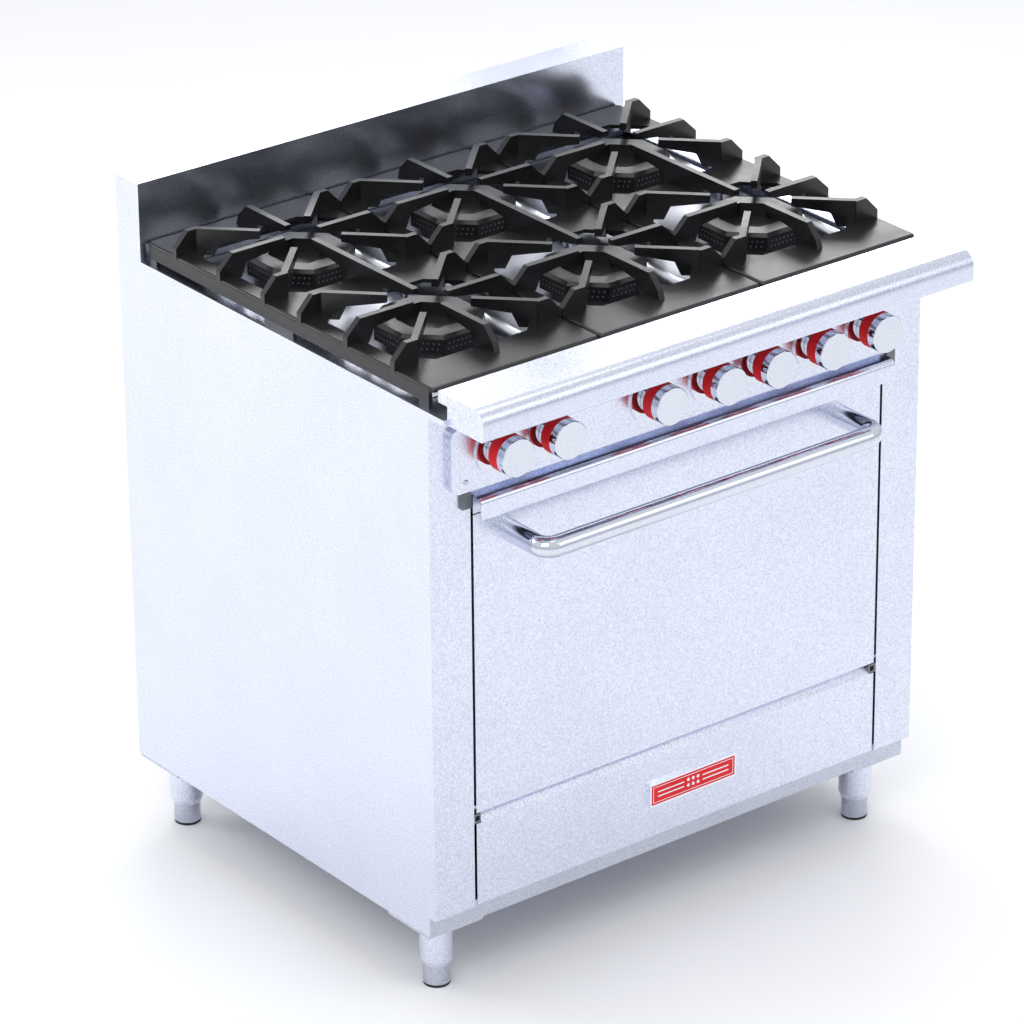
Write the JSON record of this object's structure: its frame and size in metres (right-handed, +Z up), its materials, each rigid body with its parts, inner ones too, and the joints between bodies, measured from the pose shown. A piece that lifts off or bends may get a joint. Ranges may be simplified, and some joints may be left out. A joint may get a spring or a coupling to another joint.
{
  "type": "commercial gas range",
  "caption": "Free-standing stainless gas range with open top burners under cast-iron grates, a drop-down oven door, red-banded control knobs, a low backguard and adjustable round legs",
  "frame": {"origin": "on the floor, under the centre of the bounding box", "axes": "+X to the right seen from the front, -Y to the front (the door side), +Z up"},
  "size_m": [0.914, 0.872, 1.073],
  "materials": {
    "galvanised": "dull zinc-coated sheet",
    "stainless": "bright satin stainless sheet",
    "rubber": "black rubber pad",
    "bright_steel": "bright plated steel",
    "chrome": "polished chrome",
    "polished_steel": "polished stainless sheet",
    "grey_steel": "plain grey steel",
    "badge_metal": "bright badge rim",
    "badge_red": "red enamel",
    "enamel": "speckled porcelain enamel on sheet",
    "cast_iron": "black cast iron",
    "brass": "brass valve body",
    "tube_steel": "bright venturi tube",
    "tray_steel": "bright tray sheet",
    "insulation": "mineral wool",
    "band_red": "gloss red ring"
  },
  "bodies": {
    "cabinet": {"base_rails": "galvanised", "bottom_pan": "galvanised", "leg_plates": "galvanised", "leg_tubes": "stainless", "leg_feet": "bright_steel", "leg_pads": "rubber", "side_panels": "stainless", "door_posts": "stainless", "back_panel": "galvanised", "upper_front_panel": "stainless", "control_panel": "stainless", "control_panel_screws": "bright_steel", "knob_bezels": "chrome", "door_hood": "polished_steel", "hood_brackets": "grey_steel", "kick_panel": "stainless", "door_hinge_brackets": "grey_steel", "badge_plate": "badge_metal", "badge_inlay": "badge_red", "front_ledge": "stainless", "ledge_end_caps": "stainless", "ledge_shelf": "stainless", "backguard": "stainless", "backguard_end_caps": "stainless", "rear_top_rail": "galvanised", "oven_side_walls": "enamel", "oven_back_wall": "enamel", "oven_ceiling": "enamel", "oven_floor": "enamel", "rack_guides": "bright_steel", "oven_rack": "bright_steel", "oven_burner": "cast_iron", "gas_manifold": "grey_steel", "gas_valves": "brass", "oven_thermostat": "grey_steel", "burner_tubes": "tube_steel", "burner_heads": "cast_iron", "spill_tray": "tray_steel"},
    "oven_door": {"door_outer_panel": "stainless", "door_inner_panel": "enamel", "door_insulation": "insulation", "door_handle": "chrome", "door_hinge_pins": "bright_steel"},
    "left_top_grate": {"top_grate_left": "cast_iron"},
    "center_top_grate": {"top_grate_center": "cast_iron"},
    "right_top_grate": {"top_grate_right": "cast_iron"},
    "knob_1": {"knob_1": "chrome", "knob_1_band": "band_red"},
    "knob_2": {"knob_2": "chrome", "knob_2_band": "band_red"},
    "knob_3": {"knob_3": "chrome", "knob_3_band": "band_red"},
    "knob_4": {"knob_4": "chrome", "knob_4_band": "band_red"},
    "knob_5": {"knob_5": "chrome", "knob_5_band": "band_red"},
    "knob_6": {"knob_6": "chrome", "knob_6_band": "band_red"},
    "knob_7": {"knob_7": "chrome", "knob_7_band": "band_red"}
  },
  "joints": [
    {"name": "oven_door_hinge", "type": "hinge", "parent": "cabinet", "child": "oven_door", "pos_m": [0, -0.313, 0.306], "axis": [1, 0, 0], "range_deg": [0, 90]},
    {"name": "left_top_grate_lift", "type": "slide", "parent": "cabinet", "child": "left_top_grate", "axis": [0, 0, 1], "range_m": [0, 0.3]},
    {"name": "center_top_grate_lift", "type": "slide", "parent": "cabinet", "child": "center_top_grate", "axis": [0, 0, 1], "range_m": [0, 0.3]},
    {"name": "right_top_grate_lift", "type": "slide", "parent": "cabinet", "child": "right_top_grate", "axis": [0, 0, 1], "range_m": [0, 0.3]},
    {"name": "knob_1_turn", "type": "hinge", "parent": "cabinet", "child": "knob_1", "pos_m": [-0.343, -0.37, 0.8685], "axis": [0, -1, 0], "range_deg": [-180, 0]},
    {"name": "knob_2_turn", "type": "hinge", "parent": "cabinet", "child": "knob_2", "pos_m": [-0.25, -0.37, 0.8685], "axis": [0, -1, 0], "range_deg": [-180, 0]},
    {"name": "knob_3_turn", "type": "hinge", "parent": "cabinet", "child": "knob_3", "pos_m": [-0.066, -0.37, 0.8685], "axis": [0, -1, 0], "range_deg": [-180, 0]},
    {"name": "knob_4_turn", "type": "hinge", "parent": "cabinet", "child": "knob_4", "pos_m": [0.044, -0.37, 0.8685], "axis": [0, -1, 0], "range_deg": [-180, 0]},
    {"name": "knob_5_turn", "type": "hinge", "parent": "cabinet", "child": "knob_5", "pos_m": [0.138, -0.37, 0.8685], "axis": [0, -1, 0], "range_deg": [-300, 0]},
    {"name": "knob_6_turn", "type": "hinge", "parent": "cabinet", "child": "knob_6", "pos_m": [0.241, -0.37, 0.8685], "axis": [0, -1, 0], "range_deg": [-180, 0]},
    {"name": "knob_7_turn", "type": "hinge", "parent": "cabinet", "child": "knob_7", "pos_m": [0.342, -0.37, 0.8685], "axis": [0, -1, 0], "range_deg": [-180, 0]}
  ]
}
